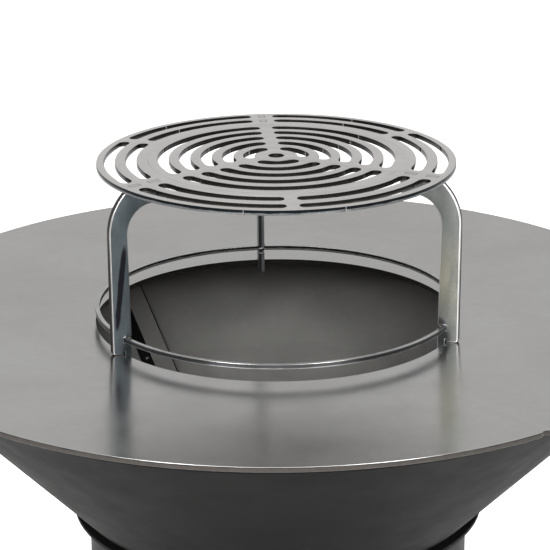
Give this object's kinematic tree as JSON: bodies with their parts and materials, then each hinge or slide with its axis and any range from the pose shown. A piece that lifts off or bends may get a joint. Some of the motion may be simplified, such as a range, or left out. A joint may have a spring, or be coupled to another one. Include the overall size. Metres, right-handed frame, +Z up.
{
  "type": "fire pit with grate",
  "caption": "Round steel fire pit on a drum pedestal: a cone-shaped fire bowl, a dished griddle plate with a fire hole, and a lift-off round cooking grate on legs above it.",
  "frame": {"origin": "on the ground, under the middle of the round plate", "axes": "+Z up along the fire pit's round axis, -Y towards the viewer, +X to the viewer's right"},
  "size_m": [1, 1, 1.1955],
  "materials": {
    "rolled_steel": "bare hot-rolled steel, satin, with soft blurred reflections",
    "cut_steel": "bare mill-scale steel, blue-grey, with bright cut edges and heat tint at the welds",
    "bowl_black": "semi-gloss black heat-resistant paint",
    "pedestal_black": "matt black powder coat",
    "zinc_fastener": "zinc plated",
    "pad_rubber": "matt black"
  },
  "bodies": {
    "base": {"bowl_shell": "bowl_black", "bowl_rim": "bowl_black", "bowl_floor": "bowl_black", "seam_strap": "bowl_black", "pedestal_top": "pedestal_black", "pedestal_shell": "pedestal_black", "base_ring": "pedestal_black", "strap_screw_1": "zinc_fastener", "strap_screw_2": "zinc_fastener", "strap_screw_3": "zinc_fastener", "bowl_washer_1": "zinc_fastener", "bowl_washer_2": "zinc_fastener", "bowl_washer_3": "zinc_fastener", "bowl_washer_4": "zinc_fastener", "bowl_bolt_1": "zinc_fastener", "bowl_bolt_2": "zinc_fastener", "bowl_bolt_3": "zinc_fastener", "bowl_bolt_4": "zinc_fastener", "bowl_nut_1": "zinc_fastener", "bowl_nut_2": "zinc_fastener", "bowl_nut_3": "zinc_fastener", "bowl_nut_4": "zinc_fastener", "foot_nut_1": "zinc_fastener", "foot_nut_2": "zinc_fastener", "foot_nut_3": "zinc_fastener", "foot_nut_4": "zinc_fastener"},
    "griddle": {"griddle_plate": "rolled_steel", "plate_lug_1": "cut_steel", "plate_lug_2": "cut_steel", "plate_lug_3": "cut_steel"},
    "grate_stand": {"cooking_grate": "rolled_steel", "stand_ring": "cut_steel", "leg_back": "cut_steel", "leg_left": "cut_steel", "leg_right": "cut_steel"},
    "foot_1": {"levelling_foot_1": "zinc_fastener", "foot_pad_1": "pad_rubber"},
    "foot_2": {"levelling_foot_2": "zinc_fastener", "foot_pad_2": "pad_rubber"},
    "foot_3": {"levelling_foot_3": "zinc_fastener", "foot_pad_3": "pad_rubber"},
    "foot_4": {"levelling_foot_4": "zinc_fastener", "foot_pad_4": "pad_rubber"}
  },
  "joints": [
    {"name": "griddle_lift", "type": "slide", "parent": "base", "child": "griddle", "axis": [0, 0, 1], "range_m": [0, 0.2]},
    {"name": "grate_lift", "type": "slide", "parent": "griddle", "child": "grate_stand", "axis": [0, 0, 1], "range_m": [0, 0.25]},
    {"name": "foot_1_screw", "type": "slide", "parent": "base", "child": "foot_1", "axis": [0, 0, -1], "range_m": [0, 0.02]},
    {"name": "foot_2_screw", "type": "slide", "parent": "base", "child": "foot_2", "axis": [0, 0, -1], "range_m": [0, 0.02]},
    {"name": "foot_3_screw", "type": "slide", "parent": "base", "child": "foot_3", "axis": [0, 0, -1], "range_m": [0, 0.02]},
    {"name": "foot_4_screw", "type": "slide", "parent": "base", "child": "foot_4", "axis": [0, 0, -1], "range_m": [0, 0.02]}
  ]
}
